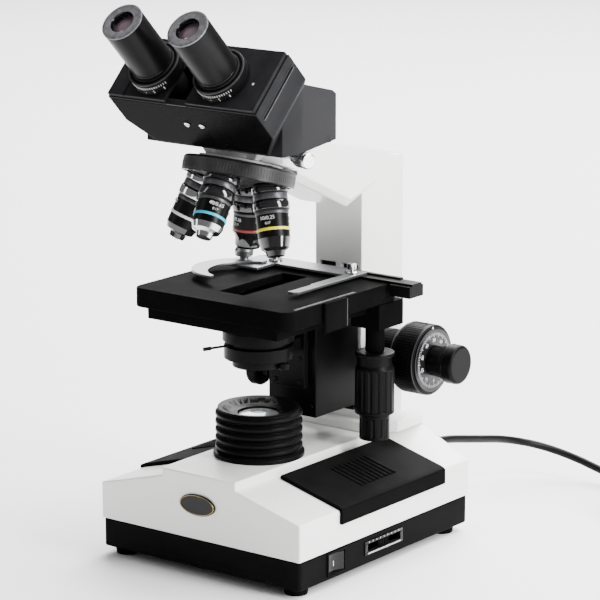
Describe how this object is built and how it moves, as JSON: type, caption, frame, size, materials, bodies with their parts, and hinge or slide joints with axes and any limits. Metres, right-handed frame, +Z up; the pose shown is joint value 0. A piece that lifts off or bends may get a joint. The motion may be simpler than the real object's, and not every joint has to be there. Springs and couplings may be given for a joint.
{
  "type": "microscope",
  "caption": "Binocular compound laboratory microscope with a tilted nosepiece, mechanical stage, condenser, coaxial focus, base lamp and mains lead",
  "frame": {"origin": "Middle of the base footprint, on the table", "axes": "+Z up; the observer sits on the -Y side; +X is the observer's right"},
  "size_m": [0.3495, 0.4207, 0.4075],
  "materials": {
    "tray_plastic": "fine-textured black moulded plastic",
    "foot_rubber": "black rubber",
    "white_paint": "semi-gloss off-white enamel",
    "pad_rubber": "ribbed black rubber",
    "badge_enamel": "gloss black oval with a thin gold rim",
    "switch_plastic": "gloss black plastic",
    "black_anodised": "satin black finish",
    "lens_glass": "coated glass",
    "ceramic": "unglazed ceramic",
    "copper_winding": "varnished winding",
    "board": "green board",
    "cord_vinyl": "black vinyl",
    "plug_vinyl": "black moulded plug with steel pins",
    "knob_plastic": "satin black plastic",
    "dial_silver": "engraved satin aluminium",
    "stage_black": "black anodised stage plate",
    "holder_steel": "brushed steel",
    "chrome": "bright chrome",
    "nosepiece_black": "satin black with worn edges",
    "objective_black": "gloss black barrel with a coloured ring",
    "objective_silver": "banded chrome and black barrel",
    "head_texture": "fine-textured dark grey",
    "prism_glass": "clear glass",
    "eyepiece_black": "satin black barrel"
  },
  "bodies": {
    "stand": {"base_tray": "tray_plastic", "feet": "foot_rubber", "base_cover": "white_paint", "pad_left": "pad_rubber", "pad_right": "pad_rubber", "badge": "badge_enamel", "lamp_house": "black_anodised", "field_lens": "lens_glass", "lamp_socket": "ceramic", "lamp_bulb": "lens_glass", "transformer": "copper_winding", "circuit_board": "board", "fuse_holder": "switch_plastic", "strain_relief": "cord_vinyl", "cord_run": "cord_vinyl", "cord_coil": "cord_vinyl", "cord_tail": "cord_vinyl", "mains_plug": "plug_vinyl", "arm": "white_paint", "focus_guide": "black_anodised", "fixed_collar": "knob_plastic", "nosepiece_mount": "white_paint"},
    "rocker": {"power_switch": "switch_plastic"},
    "dimmer": {"dimmer_slider": "switch_plastic"},
    "tension": {"tension_collar": "knob_plastic"},
    "coarse": {"coarse_knobs": "knob_plastic"},
    "fine": {"fine_knobs": "knob_plastic", "focus_dial": "dial_silver"},
    "lift": {"focus_slide": "black_anodised", "stage_lower": "stage_black"},
    "y_plate": {"stage_upper": "stage_black", "x_rail": "black_anodised"},
    "x_carriage": {"slide_holder": "holder_steel", "holder_screws": "chrome"},
    "finger": {"slide_finger": "holder_steel"},
    "y_knob": {"stage_knob_y": "knob_plastic"},
    "x_knob": {"stage_knob_x": "knob_plastic"},
    "substage": {"condenser_carrier": "black_anodised", "condenser": "black_anodised", "condenser_lens": "lens_glass"},
    "iris": {"iris_lever": "black_anodised"},
    "filter": {"filter_tray": "black_anodised"},
    "substage_knob": {"condenser_knob": "knob_plastic"},
    "nosepiece": {"turret": "nosepiece_black", "objective_low": "objective_black", "objective_mid": "objective_black", "objective_high": "objective_black", "objective_oil": "objective_silver"},
    "head": {"head_mount": "chrome", "head_body": "head_texture", "prism_block": "prism_glass"},
    "lock": {"head_lock": "chrome"},
    "left_tube": {"tube_left": "head_texture", "eyepiece_left": "eyepiece_black", "eye_lens_left": "lens_glass"},
    "right_tube": {"tube_right": "head_texture", "eyepiece_right": "eyepiece_black", "eye_lens_right": "lens_glass"},
    "left_diopter": {"diopter_left": "eyepiece_black"},
    "right_diopter": {"diopter_right": "eyepiece_black"}
  },
  "joints": [
    {"name": "switch_rock", "type": "hinge", "parent": "stand", "child": "rocker", "pos_m": [0.084, -0.061, 0.0172], "axis": [0, 0, 1], "range_deg": [-6, 6]},
    {"name": "dimmer_slide", "type": "slide", "parent": "stand", "child": "dimmer", "axis": [0, 1, 0], "range_m": [-0.013, 0.012]},
    {"name": "tension_turn", "type": "hinge", "parent": "stand", "child": "tension", "pos_m": [0.04, 0.078, 0.133], "axis": [1, 0, 0], "range_deg": [-120, 120]},
    {"name": "stage_lift", "type": "slide", "parent": "stand", "child": "lift", "axis": [0, 0, 1], "range_m": [-0.006, 0.016]},
    {"name": "coarse_turn", "type": "hinge", "parent": "stand", "child": "coarse", "pos_m": [0, 0.078, 0.133], "axis": [1, 0, 0], "range_deg": [-160, 65]},
    {"name": "fine_turn", "type": "hinge", "parent": "stand", "child": "fine", "pos_m": [0, 0.078, 0.133], "axis": [1, 0, 0], "continuous": true},
    {"name": "stage_y", "type": "slide", "parent": "lift", "child": "y_plate", "axis": [0, 1, 0], "range_m": [-0.02, 0.015]},
    {"name": "stage_x", "type": "slide", "parent": "y_plate", "child": "x_carriage", "axis": [1, 0, 0], "range_m": [-0.03, 0.03]},
    {"name": "finger_swing", "type": "hinge", "parent": "x_carriage", "child": "finger", "pos_m": [-0.046, 0.008, 0.204], "axis": [0, 0, 1], "range_deg": [-30, 0], "stiffness_Nm_per_rad": 0.05, "springref_deg": 8.59},
    {"name": "y_knob_turn", "type": "hinge", "parent": "lift", "child": "y_knob", "pos_m": [0.055, 0.032, 0.123], "axis": [0, 0, 1], "range_deg": [-230, 300]},
    {"name": "x_knob_turn", "type": "hinge", "parent": "lift", "child": "x_knob", "pos_m": [0.055, 0.032, 0.091], "axis": [0, 0, 1], "range_deg": [-400, 400]},
    {"name": "condenser_lift", "type": "slide", "parent": "lift", "child": "substage", "axis": [0, 0, 1], "range_m": [-0.014, 0]},
    {"name": "iris_turn", "type": "hinge", "parent": "substage", "child": "iris", "pos_m": [0, -0.034, 0.158], "axis": [0, 0, 1], "range_deg": [-30, 30]},
    {"name": "filter_swing", "type": "hinge", "parent": "substage", "child": "filter", "pos_m": [0.023, -0.034, 0.143], "axis": [0, 0, 1], "range_deg": [0, 80]},
    {"name": "condenser_knob_turn", "type": "hinge", "parent": "lift", "child": "substage_knob", "pos_m": [-0.03, 0.014, 0.122], "axis": [1, 0, 0], "range_deg": [-260, 10]},
    {"name": "nosepiece_turn", "type": "hinge", "parent": "stand", "child": "nosepiece", "pos_m": [0, -0.05695, 0.281], "axis": [0, 0.2924, 0.9563], "continuous": true},
    {"name": "head_swivel", "type": "hinge", "parent": "stand", "child": "head", "pos_m": [0, -0.034, 0.3], "axis": [0, 0, 1], "continuous": true},
    {"name": "lock_turn", "type": "hinge", "parent": "stand", "child": "lock", "pos_m": [0, -0.034, 0.299], "axis": [0.9397, -0.342, 0], "range_deg": [-180, 180]},
    {"name": "right_tube_slide", "type": "slide", "parent": "head", "child": "right_tube", "axis": [1, 0, 0], "range_m": [-0.001, 0.009]},
    {"name": "left_tube_slide", "type": "slide", "parent": "head", "child": "left_tube", "axis": [1, 0, 0], "range_m": [-0.009, 0.001]},
    {"name": "left_diopter_turn", "type": "hinge", "parent": "left_tube", "child": "left_diopter", "pos_m": [-0.0285, -0.10394, 0.35556], "axis": [0, -0.7071, 0.7071], "range_deg": [-150, 150]},
    {"name": "right_diopter_turn", "type": "hinge", "parent": "right_tube", "child": "right_diopter", "pos_m": [0.0285, -0.10394, 0.35556], "axis": [0, -0.7071, 0.7071], "range_deg": [-150, 150]}
  ],
  "couplings": [
    {"joint": "coarse_turn", "follows": "stage_lift", "rad_per_m": -166.7},
    {"joint": "y_knob_turn", "follows": "stage_y", "rad_per_m": -251.3},
    {"joint": "x_knob_turn", "follows": "stage_x", "rad_per_m": 209.4},
    {"joint": "condenser_knob_turn", "follows": "condenser_lift", "rad_per_m": 314},
    {"joint": "left_tube_slide", "follows": "right_tube_slide", "ratio": -1}
  ]
}
